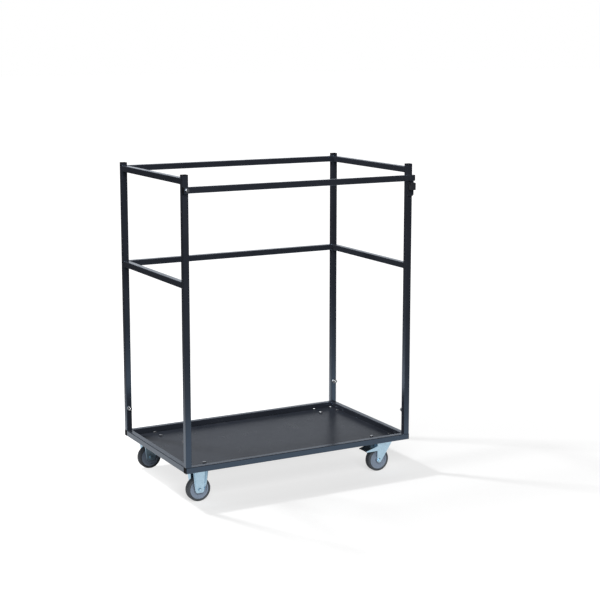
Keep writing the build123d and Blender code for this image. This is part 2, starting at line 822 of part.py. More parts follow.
def brake_pedal(x, y):
    """Brake pedal over the wheel whose axle is at x: folded tread, shoe and pivot stubs in one pressing."""
    plane = facing_front(x, y, 0)
    pivot = (pedal_pivot_ahead, axle_z + pedal_pivot_up)
    slope = (pedal_start_up - pedal_tip_up) / (pedal_reach - pedal_start)
    block_top = axle_z + pedal_start_up - slope * (shoe_block_end - pedal_start)
    tread_start = (-pedal_start, axle_z + pedal_start_up)
    tread_tip = (-pedal_reach, axle_z + pedal_tip_up)
    flange_start = (-pedal_start, axle_z + pedal_flange_up)
    flange_tip = (-pedal_reach, axle_z + pedal_flange_up)
    with BuildPart() as pedal:
        with BuildSketch(plane):
            with BuildLine():
                Polyline(
                    shoe_point(shoe_start_angle),
                    (pedal_pivot_ahead, pivot[1] - pedal_boss_radius),
                    (pedal_pivot_ahead, pivot[1] + pedal_boss_radius),
                    tread_start,
                    (-shoe_block_end, block_top),
                    shoe_point(shoe_end_angle),
                )
                RadiusArc(shoe_point(shoe_end_angle), shoe_point(shoe_start_angle), shoe_radius)
            make_face()
        extrude(amount=pedal_shank_width / 2, both=True)
        with BuildSketch(plane):
            with BuildLine():
                Polyline(
                    tread_start,
                    tread_tip,
                    (-pedal_reach, tread_tip[1] - pedal_sheet),
                    (-pedal_start, tread_start[1] - pedal_sheet),
                    close=True,
                )
            make_face()
        extrude(amount=pedal_width / 2, both=True)
        for way in (-1, 1):
            with BuildSketch(facing_front(x, y + way * pedal_width / 2, 0)):
                with BuildLine():
                    Polyline(tread_start, tread_tip, flange_tip, flange_start, close=True)
                make_face()
            extrude(amount=way * pedal_sheet)
        with BuildSketch(plane):
            with Locations(pivot):
                Circle(pedal_boss_radius)
        extrude(amount=fork_gap / 2 - pedal_side_gap, both=True)
        with BuildSketch(plane):
            with Locations(pivot):
                Circle(pedal_pin_diameter / 2)
        extrude(amount=fork_gap / 2 + fork_sheet, both=True)
    return pedal.part


# Fixed casters at the left
fixed_casters = {"front_left": (fixed_x, caster_front_y), "rear_left": (fixed_x, caster_rear_y)}
for name, place in fixed_casters.items():
    save(fixed_fork(*place), f"{name}_fork")
    save(wheel_rim(*place), f"{name}_rim")
    save(wheel_tyre(*place), f"{name}_tyre")
save(together(axle_bolt(*place) for place in fixed_casters.values()), "fixed_axle_bolts")
save(together(axle_sleeve(*place) for place in fixed_casters.values()), "fixed_axle_sleeves")

# Lock nuts of the fixed axles and of the bar's pivot bolt
pivot_nut = lock_nut(across_y(left_x, front_y + tube_size + washer_thickness, bar_z))
save(together([axle_nut(*place) for place in fixed_casters.values()] + [pivot_nut]), "lock_nuts")

# Swivel casters with brakes at the right
swivel_casters = {"front_right": caster_front_y, "rear_right": caster_rear_y}
for name, y in swivel_casters.items():
    save(swivel_plate(swivel_x, y), f"{name}_plate")
    save(swivel_fork(swivel_x, y), f"{name}_fork")
    save(wheel_rim(trailing_x, y), f"{name}_rim")
    save(wheel_tyre(trailing_x, y), f"{name}_tyre")
    save(axle_sleeve(trailing_x, y), f"{name}_axle_sleeve")
    save(axle_bolt(trailing_x, y), f"{name}_axle_bolt")
    save(axle_nut(trailing_x, y), f"{name}_axle_nut")
    save(brake_pedal(trailing_x, y), f"{name}_brake_pedal")
save(together(king_pin(swivel_x, y) for y in swivel_casters.values()), "king_pins")

with BuildPart() as race_balls:
    with Locations(*((swivel_x, y, ball_z) for y in swivel_casters.values())):
        with PolarLocations(race_pitch_radius, ball_count):
            Sphere(ball_diameter / 2)
save(race_balls.part, "race_balls")
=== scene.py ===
"""Looks of the transport trolley: viewpoint, studio, finishes and the small pieces the solids leave out."""

import json
import logging
import math
from collections.abc import Callable
from dataclasses import dataclass
from enum import Enum
from typing import Any

import bmesh
import bpy
from mathutils import Euler, Matrix, Vector

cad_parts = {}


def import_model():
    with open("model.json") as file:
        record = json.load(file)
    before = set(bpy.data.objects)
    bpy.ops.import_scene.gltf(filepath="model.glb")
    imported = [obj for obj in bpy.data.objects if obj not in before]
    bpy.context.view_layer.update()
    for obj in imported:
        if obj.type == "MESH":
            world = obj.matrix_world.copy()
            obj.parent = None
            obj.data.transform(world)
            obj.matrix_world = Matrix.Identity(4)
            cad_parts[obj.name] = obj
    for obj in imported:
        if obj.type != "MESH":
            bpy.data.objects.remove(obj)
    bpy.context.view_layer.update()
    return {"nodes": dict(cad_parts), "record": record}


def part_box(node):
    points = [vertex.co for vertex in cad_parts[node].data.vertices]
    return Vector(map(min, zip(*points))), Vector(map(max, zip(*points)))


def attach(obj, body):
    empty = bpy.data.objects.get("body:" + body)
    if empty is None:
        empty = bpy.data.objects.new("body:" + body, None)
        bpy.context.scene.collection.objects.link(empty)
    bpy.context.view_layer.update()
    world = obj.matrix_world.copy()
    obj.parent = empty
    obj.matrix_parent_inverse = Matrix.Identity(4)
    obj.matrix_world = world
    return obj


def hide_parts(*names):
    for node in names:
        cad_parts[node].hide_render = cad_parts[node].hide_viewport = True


Vec3 = tuple[float, float, float]
Colour = tuple[float, float, float]
Span = tuple[float, float]
Node = bpy.types.Node
Socket = bpy.types.NodeSocket

LOG = logging.getLogger("trolley")

RISING: Span = (0.0, 1.0)
FALLING: Span = (1.0, 0.0)
WHITE: Colour = (1.0, 1.0, 1.0)
ORIGIN: Vec3 = (0.0, 0.0, 0.0)
ALONG_Y: Vec3 = (0.0, 1.0, 0.0)
FULL_TURN = 2 * math.pi
QUARTER_TURN = math.pi / 2

# Places of the colour sockets on a mix node, which has sockets of the same names for other kinds of data
MIX_SHARE = 0
MIX_FIRST = 6
MIX_SECOND = 7
MIX_RESULT = 2


class Slot(Enum):
    """Material slots of the trolley's record."""

    FRAME_COAT = "frame_coat"
    TRAY_COAT = "tray_coat"
    BLACK_PLASTIC = "black_plastic"
    KNOB_PLASTIC = "knob_plastic"
    SPACER_NYLON = "spacer_nylon"
    # Black coat on the brake pedals: painted shade, standing in for zinc whose top mirrors the tray's dark
    # underside.
    BLACK_STEEL = "black_steel"
    BRIGHT_STEEL = "bright_steel"
    ZINC_STEEL = "zinc_steel"
    RIM_PLASTIC = "rim_plastic"
    TYRE_RUBBER = "tyre_rubber"


class Body(Enum):
    """Moving bodies that added pieces ride on."""

    FRAME = "frame"
    CLOSING_BAR = "closing_bar"
    FRONT_LEFT_WHEEL = "front_left_wheel"
    REAR_LEFT_WHEEL = "rear_left_wheel"
    FRONT_RIGHT_WHEEL = "front_right_wheel"
    REAR_RIGHT_WHEEL = "rear_right_wheel"


WHEELS: tuple[Body, ...] = (
    Body.FRONT_LEFT_WHEEL,
    Body.REAR_LEFT_WHEEL,
    Body.FRONT_RIGHT_WHEEL,
    Body.REAR_RIGHT_WHEEL,
)


class Effect(Enum):
    """Surface effects that several finishes share, each one node group."""

    GRAIN = "coat_grain"
    DUST = "settled_dust"
    RUBS = "rub_marks"
    CLOUDS = "plating_clouds"


class Graph:
    """Short hand for building one shader node tree."""

    def __init__(self, tree: bpy.types.NodeTree) -> None:
        """Keeps the tree that nodes are added to."""
        self.tree = tree

    def add(self, kind: str, **settings: object) -> Node:
        """Adds a node.

        Args:
            kind: The node's type name.
            settings: Properties of the node to set.

        Returns:
            The new node.
        """
        node = self.tree.nodes.new(kind)
        for name, value in settings.items():
            setattr(node, name, value)
        return node

    def link(self, source: Socket, target: Socket) -> None:
        """Joins an output to an input."""
        self.tree.links.new(source, target)

    def effect(self, effect: Effect, **values: float) -> Node:
        """Places a shared effect in this tree.

        Args:
            effect: Which effect to place.
            values: The effect's own inputs, by name.

        Returns:
            The group node.
        """
        node = self.add("ShaderNodeGroup", node_tree=bpy.data.node_groups[effect.value])
        for name, value in values.items():
            node.inputs[name].default_value = value
        return node

    def span(self, source: Socket, start: Span, end: Span) -> Socket:
        """Maps a value from one span to another.

        Args:
            source: The value.
            start: The span that the value comes in.
            end: The span that it leaves in.

        Returns:
            The mapped value, held inside the end span.
        """
        node = self.add("ShaderNodeMapRange")
        self.link(source, node.inputs["Value"])
        for name, value in zip(("From Min", "From Max", "To Min", "To Max"), (*start, *end)):
            node.inputs[name].default_value = value
        return node.outputs["Result"]

    def share(self, mask: Socket, most: float) -> Socket:
        """Weakens a mask to the most that it may reach."""
        return self.span(mask, RISING, (0.0, most))

    def operate(self, first: Socket, second: Socket, kind: str) -> Socket:
        """Joins two values by one operation.

        Args:
            first: The first value.
            second: The second value.
            kind: The operation's name, such as MULTIPLY.

        Returns:
            The result.
        """
        node = self.add("ShaderNodeMath", operation=kind)
        self.link(first, node.inputs[0])
        self.link(second, node.inputs[1])
        return node.outputs["Value"]

    def absolute(self, source: Socket) -> Socket:
        """Drops a value's sign.

        Args:
            source: The value.

        Returns:
            The value without its sign.
        """
        node = self.add("ShaderNodeMath", operation="ABSOLUTE")
        self.link(source, node.inputs[0])
        return node.outputs["Value"]

    def length(self, vector: Socket) -> Socket:
        """Measures a vector.

        Args:
            vector: The vector.

        Returns:
            Its length.
        """
        node = self.add("ShaderNodeVectorMath", operation="LENGTH")
        self.link(vector, node.inputs[0])
        return node.outputs["Value"]

    def parts(self, vector: Socket) -> Node:
        """Takes a vector apart.

        Args:
            vector: The vector.

        Returns:
            The node that gives its X, Y and Z.
        """
        node = self.add("ShaderNodeSeparateXYZ")
        self.link(vector, node.inputs["Vector"])
        return node

    def fade(self, source: Socket, near: float, power: float) -> Socket:
        """Fades a distance out.

        Args:
            source: The distance.
            near: The distance up to which the result stays 1.
            power: How steeply it falls beyond that.

        Returns:
            A value from 1 down towards 0.
        """
        share = self.add("ShaderNodeMath", operation="DIVIDE", use_clamp=True)
        share.inputs[0].default_value = near
        self.link(source, share.inputs[1])
        fall = self.add("ShaderNodeMath", operation="POWER")
        self.link(share.outputs["Value"], fall.inputs[0])
        fall.inputs[1].default_value = power
        return fall.outputs["Value"]

    def mix(self, mask: Socket, first: Colour | Socket, second: Colour) -> Socket:
        """Mixes two colours by a mask.

        Args:
            mask: How much of the second colour shows.
            first: A plain colour, or a colour that varies.
            second: A plain colour.

        Returns:
            The mixed colour.
        """
        node = self.add("ShaderNodeMix", data_type="RGBA")
        self.link(mask, node.inputs[MIX_SHARE])
        if isinstance(first, tuple):
            node.inputs[MIX_FIRST].default_value = (*first, 1.0)
        else:
            self.link(first, node.inputs[MIX_FIRST])
        node.inputs[MIX_SECOND].default_value = (*second, 1.0)
        return node.outputs[MIX_RESULT]


@dataclass(frozen=True)
class Layers:
    """Finer layers of a noise: how many there are, and how much each weighs."""

    count: float
    weight: float


class EffectGraph(Graph):
    """Node group of one effect, with its named sockets."""

    def __init__(self, effect: Effect, inputs: tuple[str, ...], outputs: tuple[str, ...]) -> None:
        """Opens the group.

        Args:
            effect: The effect that the group holds.
            inputs: Input names.
            outputs: Output names.
        """
        super().__init__(bpy.data.node_groups.new(effect.value, "ShaderNodeTree"))
        for side, names in (("INPUT", inputs), ("OUTPUT", outputs)):
            for name in names:
                self.tree.interface.new_socket(name=name, in_out=side, socket_type="NodeSocketFloat")
        self.entry = self.add("NodeGroupInput")
        self.exit = self.add("NodeGroupOutput")

    def noise(self, scale: str, layers: Layers) -> Socket:
        """Adds noise on the piece's own coordinates.

        Args:
            scale: Name of the group input that gives the scale.
            layers: The noise's finer layers.

        Returns:
            The noise value.
        """
        where = self.add("ShaderNodeTexCoord")
        node = self.add("ShaderNodeTexNoise")
        node.inputs["Detail"].default_value = layers.count
        node.inputs["Roughness"].default_value = layers.weight
        self.link(where.outputs["Object"], node.inputs["Vector"])
        self.link(self.entry.outputs[scale], node.inputs["Scale"])
        return node.outputs["Fac"]

    def give(self, name: str, value: Socket) -> None:
        """Joins a value to one of the group's outputs."""
        self.link(value, self.exit.inputs[name])


@dataclass(frozen=True)
class EffectLibrary:
    """Builds the shared effects once."""

    pimples: Layers = Layers(2.0, 0.5)
    mottle: Layers = Layers(4.0, 0.55)
    drifts: Layers = Layers(6.0, 0.65)
    hairlines: Layers = Layers(3.0, 0.6)
    patches: Layers = Layers(2.0, 0.5)
    haze: Layers = Layers(5.0, 0.6)
    broad_span: Span = (0.3, 0.7)
    upward_span: Span = (0.6, 1.0)
    drift_span: Span = (0.35, 0.75)
    drift_shares: Span = (0.25, 1.0)
    hairline_level: float = 0.5
    patch_span: Span = (0.5, 0.68)

    def build(self) -> None:
        """Makes all the groups."""
        self.grain()
        self.dust()
        self.rubs()
        self.clouds()

    def grain(self) -> None:
        """Fine pimples of a coat or a moulding, and its broad unevenness."""
        graph = EffectGraph(Effect.GRAIN, ("Fine", "Broad"), ("Height", "Mottle"))
        graph.give("Height", graph.noise("Fine", self.pimples))
        broad = graph.noise("Broad", self.mottle)
        graph.give("Mottle", graph.span(broad, self.broad_span, RISING))

    def dust(self) -> None:
        """Dust that settles on faces which look up."""
        graph = EffectGraph(Effect.DUST, ("Scale",), ("Mask",))
        where = graph.add("ShaderNodeTexCoord")
        facing = graph.parts(where.outputs["Normal"])
        up = graph.span(facing.outputs["Z"], self.upward_span, RISING)
        drift = graph.span(graph.noise("Scale", self.drifts), self.drift_span, self.drift_shares)
        graph.give("Mask", graph.operate(up, drift, "MULTIPLY"))

    def rubs(self) -> None:
        """Hairline rub marks, broken up by patches."""
        graph = EffectGraph(Effect.RUBS, ("Scale", "Patch", "Width"), ("Mask",))
        line = graph.add("ShaderNodeMath", operation="SUBTRACT")
        line.inputs[1].default_value = self.hairline_level
        graph.link(graph.noise("Scale", self.hairlines), line.inputs[0])
        near = graph.absolute(line.outputs["Value"])
        share = graph.operate(near, graph.entry.outputs["Width"], "DIVIDE")
        thin = graph.span(share, RISING, FALLING)
        patch = graph.span(graph.noise("Patch", self.patches), self.patch_span, RISING)
        graph.give("Mask", graph.operate(thin, patch, "MULTIPLY"))

    def clouds(self) -> None:
        """Cloudy crystals of a plated skin."""
        graph = EffectGraph(Effect.CLOUDS, ("Crystal", "Broad"), ("Tone", "Haze"))
        where = graph.add("ShaderNodeTexCoord")
        cells = graph.add("ShaderNodeTexVoronoi", feature="SMOOTH_F1")
        graph.link(where.outputs["Object"], cells.inputs["Vector"])
        graph.link(graph.entry.outputs["Crystal"], cells.inputs["Scale"])
        graph.give("Tone", cells.outputs["Distance"])
        broad = graph.noise("Broad", self.haze)
        graph.give("Haze", graph.span(broad, self.broad_span, RISING))


@dataclass(frozen=True)
class Finish:
    """What every finish has: its slot, its colour and the colour it drifts to, and its span of roughness."""

    slot: Slot
    colour: Colour
    drift: Colour
    roughness: Span

    def build(self) -> bpy.types.Material:
        """Makes the material, which each kind of finish does in its own way."""
        raise NotImplementedError

    def start(self) -> tuple[bpy.types.Material, Graph, Node]:
        """Opens the finish's material.

        Returns:
            The material, its graph and its surface shader.
        """
        material = bpy.data.materials.new(self.slot.value)
        material.use_nodes = True
        graph = Graph(material.node_tree)
        shader = next(node for node in material.node_tree.nodes if node.type == "BSDF_PRINCIPLED")
        material.diffuse_color = (*self.colour, 1.0)
        return material, graph, shader

    def bump(self, graph: Graph, shader: Node, height: Socket, depth: float) -> None:
        """Roughens the shader's normal.

        Args:
            graph: The material's graph.
            shader: The surface shader.
            height: The height that varies over the surface.
            depth: The depth of the relief, in metres.
        """
        node = graph.add("ShaderNodeBump")
        node.inputs["Strength"].default_value = 1.0
        node.inputs["Distance"].default_value = depth
        graph.link(height, node.inputs["Height"])
        graph.link(node.outputs["Normal"], shader.inputs["Normal"])


@dataclass(frozen=True)
class PowderCoat(Finish):
    """Baked powder on steel: orange-peel relief, a little dust on top faces and hairline rubs."""

    gloss: float = 0.5
    sheen: Colour = (0.78, 0.91, 1.0)
    fine: float = 1400.0
    broad: float = 7.0
    relief: float = 0.000006
    dust: Colour = (0.12, 0.125, 0.13)
    dust_scale: float = 24.0
    dust_share: float = 0.1
    rub_scale: float = 14.0
    rub_patch: float = 6.0
    rub_width: float = 0.008
    rub_share: float = 0.2

    def build(self) -> bpy.types.Material:
        """Makes the coat's material.

        Returns:
            The material.
        """
        material, graph, shader = self.start()
        grain = graph.effect(Effect.GRAIN, Fine=self.fine, Broad=self.broad)
        dust = graph.effect(Effect.DUST, Scale=self.dust_scale)
        rubs = graph.effect(Effect.RUBS, Scale=self.rub_scale, Patch=self.rub_patch, Width=self.rub_width)
        colour = graph.mix(grain.outputs["Mottle"], self.colour, self.drift)
        colour = graph.mix(graph.share(rubs.outputs["Mask"], self.rub_share), colour, self.dust)
        fall = graph.share(dust.outputs["Mask"], self.dust_share)
        graph.link(graph.mix(fall, colour, self.dust), shader.inputs["Base Color"])
        rough = graph.span(grain.outputs["Mottle"], RISING, self.roughness)
        graph.link(graph.operate(rough, fall, "ADD"), shader.inputs["Roughness"])
        shader.inputs["Specular IOR Level"].default_value = self.gloss
        shader.inputs["Specular Tint"].default_value = (*self.sheen, 1.0)
        self.bump(graph, shader, grain.outputs["Height"], self.relief)
        return material


@dataclass(frozen=True)
class PlatedSteel(Finish):
    """Zinc or nickel on steel: cloudy crystals, haze and hairlines in a bright metal skin."""

    crystal: float = 160.0
    broad: float = 30.0
    relief: float = 0.00001
    rub_scale: float = 45.0
    rub_patch: float = 18.0
    rub_width: float = 0.01
    rub_share: float = 0.15

    def build(self) -> bpy.types.Material:
        """Makes the plating's material.

        Returns:
            The material.
        """
        material, graph, shader = self.start()
        clouds = graph.effect(Effect.CLOUDS, Crystal=self.crystal, Broad=self.broad)
        rubs = graph.effect(Effect.RUBS, Scale=self.rub_scale, Patch=self.rub_patch, Width=self.rub_width)
        colour = graph.mix(clouds.outputs["Tone"], self.colour, self.drift)
        graph.link(colour, shader.inputs["Base Color"])
        rough = graph.span(clouds.outputs["Haze"], RISING, self.roughness)
        rub = graph.share(rubs.outputs["Mask"], self.rub_share)
        graph.link(graph.operate(rough, rub, "ADD"), shader.inputs["Roughness"])
        shader.inputs["Metallic"].default_value = 1.0
        self.bump(graph, shader, clouds.outputs["Tone"], self.relief)
        return material


@dataclass(frozen=True)
class MouldedPlastic(Finish):
    """Moulded plastic with a fine spark-eroded grain."""

    gloss: float = 0.4
    fine: float = 1800.0
    broad: float = 60.0
    relief: float = 0.00004

    def build(self) -> bpy.types.Material:
        """Makes the plastic's material.

        Returns:
            The material.
        """
        material, graph, shader = self.start()
        grain = graph.effect(Effect.GRAIN, Fine=self.fine, Broad=self.broad)
        colour = graph.mix(grain.outputs["Mottle"], self.colour, self.drift)
        graph.link(colour, shader.inputs["Base Color"])
        rough = graph.span(grain.outputs["Mottle"], RISING, self.roughness)
        graph.link(rough, shader.inputs["Roughness"])
        shader.inputs["Specular IOR Level"].default_value = self.gloss
        self.bump(graph, shader, grain.outputs["Height"], self.relief)
        return material


@dataclass(frozen=True)
class SolidRubber(Finish):
    """Solid rubber: dull, mottled and rubbed pale in patches."""

    gloss: float = 0.35
    fine: float = 700.0
    broad: float = 45.0
    relief: float = 0.00006
    scuff: Colour = (0.16, 0.165, 0.17)
    rub_scale: float = 60.0
    rub_patch: float = 30.0
    rub_width: float = 0.03
    rub_share: float = 0.35

    def build(self) -> bpy.types.Material:
        """Makes the rubber's material.

        Returns:
            The material.
        """
        material, graph, shader = self.start()
        grain = graph.effect(Effect.GRAIN, Fine=self.fine, Broad=self.broad)
        rubs = graph.effect(Effect.RUBS, Scale=self.rub_scale, Patch=self.rub_patch, Width=self.rub_width)
        colour = graph.mix(grain.outputs["Mottle"], self.colour, self.drift)
        rub = graph.share(rubs.outputs["Mask"], self.rub_share)
        graph.link(graph.mix(rub, colour, self.scuff), shader.inputs["Base Color"])
        rough = graph.span(grain.outputs["Mottle"], RISING, self.roughness)
        graph.link(rough, shader.inputs["Roughness"])
        shader.inputs["Specular IOR Level"].default_value = self.gloss
        self.bump(graph, shader, grain.outputs["Height"], self.relief)
        return material


FINISHES: tuple[Finish, ...] = (
    PowderCoat(
        Slot.FRAME_COAT,
        (0.018, 0.020, 0.026),
        (0.022, 0.024, 0.031),
        (0.15, 0.22),
        gloss=1.0,
        sheen=(0.46, 0.70, 1.0),
    ),
    PowderCoat(
        Slot.TRAY_COAT,
        (0.014, 0.017, 0.024),
        (0.018, 0.021, 0.029),
        (0.23, 0.27),
        gloss=0.12,
        sheen=(0.6, 0.78, 1.0),
        relief=0.0000015,
    ),
    # Black coat on the brake pedals: painted shade, standing in for zinc whose top mirrors the tray's dark
    # underside.
    PowderCoat(Slot.BLACK_STEEL, (0.008, 0.008, 0.009), (0.011, 0.011, 0.012), (0.4, 0.5), gloss=0.2),
    MouldedPlastic(
        Slot.BLACK_PLASTIC,
        (0.004, 0.004, 0.005),
        (0.006, 0.006, 0.007),
        (0.55, 0.65),
        gloss=0.05,
    ),
    MouldedPlastic(Slot.KNOB_PLASTIC, (0.014, 0.016, 0.020), (0.019, 0.021, 0.026), (0.42, 0.52)),
    MouldedPlastic(Slot.SPACER_NYLON, (0.010, 0.010, 0.011), (0.014, 0.014, 0.015), (0.5, 0.58)),
    MouldedPlastic(Slot.RIM_PLASTIC, (0.205, 0.255, 0.33), (0.24, 0.29, 0.37), (0.42, 0.52)),
    PlatedSteel(Slot.BRIGHT_STEEL, (0.52, 0.53, 0.54), (0.44, 0.45, 0.47), (0.22, 0.34), crystal=320.0),
    PlatedSteel(Slot.ZINC_STEEL, (0.46, 0.64, 0.77), (0.38, 0.52, 0.62), (0.22, 0.36)),
    SolidRubber(Slot.TYRE_RUBBER, (0.057, 0.064, 0.074), (0.074, 0.082, 0.093), (0.55, 0.7)),
)


@dataclass(frozen=True)
class ViewPoint:
    """Camera at the photograph's viewing angle, with angles in radians, and lens and sensor in mm."""

    place: Vec3 = (-2.72642, -5.26474, 1.85005)
    yaw: float = 0.50137
    pitch: float = -0.16292
    roll: float = 0.00031
    lens: float = 84.898
    sensor: float = 36.0
    shift_up: float = -0.05
    sight: float = 200.0

    def build(self) -> None:
        """Places the camera and makes it the scene's own."""
        level = Euler((QUARTER_TURN + self.pitch, 0.0, -self.yaw)).to_matrix()
        turn = level @ Matrix.Rotation(self.roll, 3, "Z")
        bpy.ops.object.camera_add(location=self.place, rotation=turn.to_euler())
        camera = bpy.context.active_object
        camera.data.lens = self.lens
        camera.data.sensor_width = self.sensor
        camera.data.shift_y = self.shift_up
        camera.data.clip_end = self.sight
        bpy.context.scene.camera = camera


@dataclass(frozen=True)
class SoftBox:
    """Square studio lamp that looks at a point, with the spread of its light in radians."""

    name: str
    place: Vec3
    target: Vec3
    size: float
    power: float
    spread: float

    def build(self) -> None:
        """Hangs the lamp."""
        look = Vector(self.target) - Vector(self.place)
        turn = look.to_track_quat("-Z", "Y").to_euler()
        bpy.ops.object.light_add(type="AREA", location=self.place, rotation=turn)
        lamp = bpy.context.active_object
        lamp.name = self.name
        lamp.data.size = self.size
        lamp.data.energy = self.power
        lamp.data.spread = self.spread


@dataclass(frozen=True)
class Studio:
    """Pale floor under one key lamp behind the left rear corner, with a soft fill and a white surround."""

    floor_size: float = 120.0
    floor_colour: Colour = (0.25, 0.25, 0.25)
    seen_colour: Colour = (0.40, 0.40, 0.40)
    # Nearly black, so that shiny faces mirror the floor only as the painted lit patch.
    mirrored_colour: Colour = (0.04, 0.04, 0.045)
    seen_lift: Span = (0.50, 1.0)
    lift_reach: Span = (0.4, 4.6)
    # The under_ fields set painted light that evens out the shade under the trolley.
    painted_under_lift: float = 0.245
    under_depth: Span = (-0.36, 0.0)
    under_side: Span = (0.47, 0.65)
    # The unlit_ and lit_ fields shape the painted lit patch that shiny faces mirror, and its painted shadow
    # under the trolley.
    unlit_squeeze: Vec3 = (2.2, 2.4, 0.0)
    unlit_slide: Vec3 = (0.0, -0.36, 0.0)
    unlit_reach: Span = (0.85, 1.5)
    lit_reach: float = 1.25
    lit_fall: float = 2.5
    surround: Span = (0.08, 0.40)
    surround_rise: Span = (0.0, 0.5)
    mirrored_surround: float = 0.10
    mirrored_tint: Colour = (0.90, 0.94, 1.0)
    backdrop_way: Vec3 = (0.48, 0.87, 0.0)
    backdrop_reach: Span = (0.77, 0.93)
    backdrop_rise: Span = (0.20, 0.44)
    lamps: tuple[SoftBox, ...] = (
        SoftBox("key_lamp", (-1.33, 1.75, 3.0), (0.0, 0.0, 0.2), 0.35, 54.0, 2.4),
        SoftBox("fill_lamp", (-1.5, -4.5, 3.2), (0.0, 0.0, 0.6), 3.0, 58.0, 1.4),
    )

    def build(self) -> None:
        """Sets the stage up."""
        bpy.ops.object.select_all(action="DESELECT")
        bpy.ops.mesh.primitive_plane_add(size=self.floor_size)
        floor = bpy.context.active_object
        floor.name = "studio_floor"
        floor.data.materials.append(self.floor_material())
        for lamp in self.lamps:
            lamp.build()
        self.world()
        bpy.context.scene.view_settings.view_transform = "Standard"

    def bounced(self, graph: Graph, path: Node) -> Socket:
        """Finds the rays that come off a shiny face or through a clear one."""
        return graph.operate(path.outputs["Is Glossy Ray"], path.outputs["Is Transmission Ray"], "MAXIMUM")

    def painted_mirrored_patch(self, graph: Graph, where: Socket, away: Socket) -> Socket:
        """Finds the painted lit patch of floor that shiny faces mirror, with a painted shadow under the
        trolley.

        Args:
            graph: The floor's graph.
            where: The place on the floor.
            away: Its distance from the middle.

        Returns:
            How bright the painted patch is.
        """
        squeeze = graph.add("ShaderNodeVectorMath", operation="MULTIPLY_ADD")
        graph.link(where, squeeze.inputs[0])
        squeeze.inputs[1].default_value = self.unlit_squeeze
        squeeze.inputs[2].default_value = self.unlit_slide
        # Painted shadow: the mirrored floor stays dark in an ellipse under the trolley.
        outside_painted_shadow = graph.span(graph.length(squeeze.outputs["Vector"]), self.unlit_reach, RISING)
        return graph.operate(outside_painted_shadow, graph.fade(away, self.lit_reach, self.lit_fall), "MULTIPLY")

    def painted_shade_lift(self, graph: Graph, where: Socket) -> Socket:
        """Finds the painted light that lifts and evens out the shade under the trolley, growing from front
        to middle.

        Args:
            graph: The floor's graph.
            where: The place on the floor.

        Returns:
            How much painted light lifts the floor.
        """
        parts = graph.parts(where)
        deep = graph.span(parts.outputs["Y"], self.under_depth, (0.0, self.painted_under_lift))
        inside = graph.span(graph.absolute(parts.outputs["X"]), self.under_side, FALLING)
        return graph.operate(deep, inside, "MULTIPLY")

    def floor_material(self) -> bpy.types.Material:
        """Makes a floor that is white to the camera and keeps the shadow, evened out by painted light under
        the trolley; shiny faces mirror it as a painted lit patch.

        Returns:
            The material.
        """
        material = bpy.data.materials.new("studio_floor")
        material.use_nodes = True
        material.node_tree.nodes.clear()
        graph = Graph(material.node_tree)
        where = graph.add("ShaderNodeTexCoord").outputs["Object"]
        away = graph.length(where)
        path = graph.add("ShaderNodeLightPath")
        seen = path.outputs["Is Camera Ray"]
        bounced = self.bounced(graph, path)
        straight = graph.span(away, self.lift_reach, self.seen_lift)
        straight = graph.operate(straight, self.painted_shade_lift(graph, where), "ADD")
        straight = graph.operate(straight, seen, "MULTIPLY")
        mirrored = graph.operate(self.painted_mirrored_patch(graph, where, away), bounced, "MULTIPLY")
        glow = graph.add("ShaderNodeEmission")
        graph.link(graph.operate(straight, mirrored, "ADD"), glow.inputs["Strength"])
        matt = graph.add("ShaderNodeBsdfDiffuse")
        colour = graph.mix(seen, self.floor_colour, self.seen_colour)
        # Shiny faces see the floor nearly black plus the painted lit patch, so their reflections of it are
        # painted.
        graph.link(graph.mix(bounced, colour, self.mirrored_colour), matt.inputs["Color"])
        both = graph.add("ShaderNodeAddShader")
        graph.link(matt.outputs["BSDF"], both.inputs[0])
        graph.link(glow.outputs["Emission"], both.inputs[1])
        out = graph.add("ShaderNodeOutputMaterial")
        graph.link(both.outputs["Shader"], out.inputs["Surface"])
        return material

    def world(self) -> None:
        """Makes the surround: white where seen, and mirrored as a low bright backdrop in a dim room."""
        world = bpy.data.worlds.new("studio_surround")
        world.use_nodes = True
        bpy.context.scene.world = world
        graph = Graph(world.node_tree)
        back = next(node for node in world.node_tree.nodes if node.type == "BACKGROUND")
        where = graph.add("ShaderNodeTexCoord").outputs["Generated"]
        height = graph.parts(where).outputs["Z"]
        path = graph.add("ShaderNodeLightPath")
        bounced = self.bounced(graph, path)
        toward = graph.add("ShaderNodeVectorMath", operation="DOT_PRODUCT")
        graph.link(where, toward.inputs[0])
        toward.inputs[1].default_value = self.backdrop_way
        across = graph.span(toward.outputs["Value"], self.backdrop_reach, RISING)
        low = graph.span(height, self.backdrop_rise, FALLING)
        backdrop = graph.operate(across, low, "MULTIPLY")
        backdrop = graph.span(backdrop, RISING, (self.mirrored_surround, 1.0))
        mirrored = graph.operate(backdrop, bounced, "MULTIPLY")
        sky = graph.span(height, self.surround_rise, self.surround)
        lit = graph.operate(sky, path.outputs["Is Diffuse Ray"], "MULTIPLY")
        shown = graph.operate(path.outputs["Is Camera Ray"], mirrored, "ADD")
        graph.link(graph.mix(bounced, WHITE, self.mirrored_tint), back.inputs["Color"])
        graph.link(graph.operate(shown, lit, "ADD"), back.inputs["Strength"])


